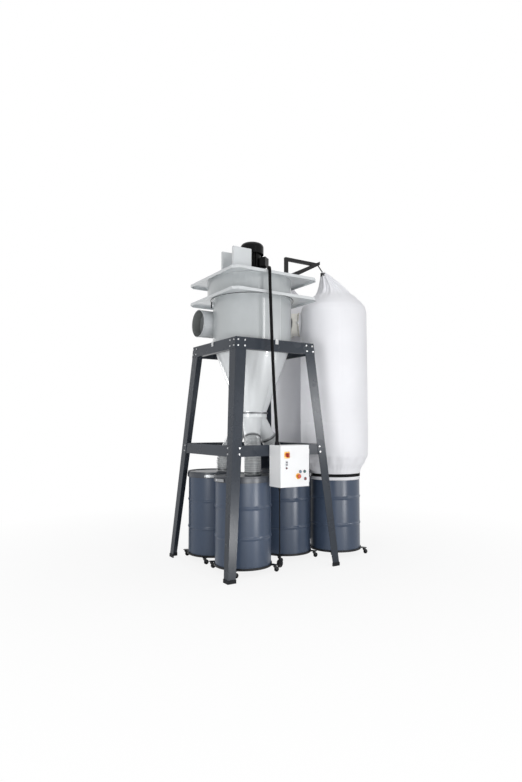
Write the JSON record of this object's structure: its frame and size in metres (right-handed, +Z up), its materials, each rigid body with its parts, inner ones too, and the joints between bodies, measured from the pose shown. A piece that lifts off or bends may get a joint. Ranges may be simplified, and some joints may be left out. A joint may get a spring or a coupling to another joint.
{
  "type": "cyclone dust collector",
  "caption": "Cyclone dust collector on a splayed steel stand: top fan and motor, three-way dust splitter with hoses to lidded drums on dollies, hanging filter bags and a front control box.",
  "frame": {"origin": "centre of the machine's footprint at floor level, without the power cord", "axes": "+Z up, +X from the inlet side towards the filter bags, -Y the front with the control box"},
  "size_m": [2.0916, 1.8612, 3.5],
  "materials": {
    "stand_paint": "satin",
    "cap_plastic": "matte",
    "zinc": "bright",
    "cyclone_paint": "satin",
    "duct_paint": "satin",
    "clear_hose": "translucent",
    "motor_paint": "satin",
    "impeller_paint": "satin",
    "shaft_steel": "ground",
    "black_plastic": "matte",
    "black_rubber": "matte",
    "bracket_paint": "satin",
    "bag_cloth": "woven felt",
    "strap": "webbing",
    "rope": "braided",
    "box_paint": "satin",
    "gear_plastic": "matte",
    "signal_yellow": "gloss",
    "signal_red": "gloss",
    "start_green": "gloss",
    "drum_paint": "satin",
    "lid_paint": "satin",
    "ring_zinc": "satin",
    "latch_zinc": "bright",
    "dolly_paint": "satin",
    "fork_steel": "satin",
    "tyre": "matte"
  },
  "bodies": {
    "stand": {"frame_legs": "stand_paint", "foot_caps": "cap_plastic", "top_beams": "stand_paint", "mid_beams": "stand_paint", "frame_bolts": "zinc", "cyclone_barrel": "cyclone_paint", "inlet_spigot": "cyclone_paint", "vortex_tube": "cyclone_paint", "cyclone_cone": "cyclone_paint", "mounting_lugs": "zinc", "clamp_rings": "zinc", "dust_splitter": "cyclone_paint", "dust_hoses": "clear_hose", "lower_plate": "cyclone_paint", "fan_housing": "cyclone_paint", "top_plate": "cyclone_paint", "upright_channels": "cyclone_paint", "motor_housing": "motor_paint", "motor_end_shields": "motor_paint", "fan_cowl": "motor_paint", "terminal_box": "motor_paint", "cable_glands": "black_plastic", "motor_cable": "black_rubber", "outlet_duct": "duct_paint", "bag_brackets": "bracket_paint", "bag_ropes": "rope", "filter_bag_front": "bag_cloth", "filter_bag_rear": "bag_cloth", "bag_bands": "strap", "enclosure_box": "box_paint", "switchgear": "gear_plastic", "power_cord": "black_rubber", "power_plug": "black_plastic", "drums": "drum_paint", "drum_lids": "lid_paint", "lock_rings": "ring_zinc", "dollies": "dolly_paint", "caster_forks": "fork_steel"},
    "rotor": {"impeller": "impeller_paint", "motor_shaft": "shaft_steel", "cooling_fan": "black_plastic"},
    "door": {"enclosure_door": "box_paint", "door_fittings": "signal_yellow"},
    "isolator": {"isolator_handle": "signal_red"},
    "estop": {"estop_button": "signal_red"},
    "start": {"start_button": "start_green"},
    "stop": {"stop_button": "signal_red"},
    "lever_front": {"latch_front": "latch_zinc"},
    "lever_left": {"latch_left": "latch_zinc"},
    "lever_right": {"latch_right": "latch_zinc"},
    "wheels_front_a": {"wheels_front_a": "tyre"},
    "wheels_front_b": {"wheels_front_b": "tyre"},
    "wheels_left_a": {"wheels_left_a": "tyre"},
    "wheels_left_b": {"wheels_left_b": "tyre"},
    "wheels_right_a": {"wheels_right_a": "tyre"},
    "wheels_right_b": {"wheels_right_b": "tyre"},
    "wheels_bag_front_a": {"wheels_bag_front_a": "tyre"},
    "wheels_bag_front_b": {"wheels_bag_front_b": "tyre"},
    "wheels_bag_rear_a": {"wheels_bag_rear_a": "tyre"},
    "wheels_bag_rear_b": {"wheels_bag_rear_b": "tyre"}
  },
  "joints": [
    {"name": "fan_spin", "type": "hinge", "parent": "stand", "child": "rotor", "pos_m": [-0.37425, -0.11941, 3], "axis": [0, 0, 1], "continuous": true},
    {"name": "door_swing", "type": "hinge", "parent": "stand", "child": "door", "pos_m": [-0.17425, -0.88059, 1.066], "axis": [0, 0, 1], "range_deg": [0, 110]},
    {"name": "isolator_turn", "type": "hinge", "parent": "door", "child": "isolator", "pos_m": [-0.44925, -0.89459, 1.176], "axis": [0, -1, 0], "range_deg": [-90, 0]},
    {"name": "estop_press", "type": "slide", "parent": "door", "child": "estop", "axis": [0, 1, 0], "range_m": [0, 0.005]},
    {"name": "start_press", "type": "slide", "parent": "door", "child": "start", "axis": [0, 1, 0], "range_m": [0, 0.004], "stiffness_N_per_m": 400, "springref_m": -0.002},
    {"name": "stop_press", "type": "slide", "parent": "door", "child": "stop", "axis": [0, 1, 0], "range_m": [0, 0.004], "stiffness_N_per_m": 400, "springref_m": -0.002},
    {"name": "latch_front_lift", "type": "hinge", "parent": "stand", "child": "lever_front", "pos_m": [-0.96365, -0.40441, 0.922], "axis": [0, 0, -1], "range_deg": [0, 120]},
    {"name": "latch_left_lift", "type": "hinge", "parent": "stand", "child": "lever_left", "pos_m": [-0.87053, 0.02958, 0.922], "axis": [0, 0, -1], "range_deg": [0, 120]},
    {"name": "latch_right_lift", "type": "hinge", "parent": "stand", "child": "lever_right", "pos_m": [0.21845, -0.38735, 0.922], "axis": [0, 0, -1], "range_deg": [0, 120]},
    {"name": "roll_front_a", "type": "hinge", "parent": "stand", "child": "wheels_front_a", "pos_m": [-0.87125, -0.40441, 0.025], "axis": [0, 1, 0], "continuous": true},
    {"name": "roll_front_b", "type": "hinge", "parent": "stand", "child": "wheels_front_b", "pos_m": [-0.40125, -0.40441, 0.025], "axis": [0, 1, 0], "continuous": true},
    {"name": "roll_left_a", "type": "hinge", "parent": "stand", "child": "wheels_left_a", "pos_m": [-0.86125, 0.24059, 0.025], "axis": [0, 1, 0], "continuous": true},
    {"name": "roll_left_b", "type": "hinge", "parent": "stand", "child": "wheels_left_b", "pos_m": [-0.39125, 0.24059, 0.025], "axis": [0, 1, 0], "continuous": true},
    {"name": "roll_right_a", "type": "hinge", "parent": "stand", "child": "wheels_right_a", "pos_m": [-0.15325, -0.11941, 0.025], "axis": [0, 1, 0], "continuous": true},
    {"name": "roll_right_b", "type": "hinge", "parent": "stand", "child": "wheels_right_b", "pos_m": [0.31675, -0.11941, 0.025], "axis": [0, 1, 0], "continuous": true},
    {"name": "roll_bag_front_a", "type": "hinge", "parent": "stand", "child": "wheels_bag_front_a", "pos_m": [0.43875, -0.28941, 0.025], "axis": [0, 1, 0], "continuous": true},
    {"name": "roll_bag_front_b", "type": "hinge", "parent": "stand", "child": "wheels_bag_front_b", "pos_m": [0.90875, -0.28941, 0.025], "axis": [0, 1, 0], "continuous": true},
    {"name": "roll_bag_rear_a", "type": "hinge", "parent": "stand", "child": "wheels_bag_rear_a", "pos_m": [0.43875, 0.54059, 0.025], "axis": [0, 1, 0], "continuous": true},
    {"name": "roll_bag_rear_b", "type": "hinge", "parent": "stand", "child": "wheels_bag_rear_b", "pos_m": [0.90875, 0.54059, 0.025], "axis": [0, 1, 0], "continuous": true}
  ]
}
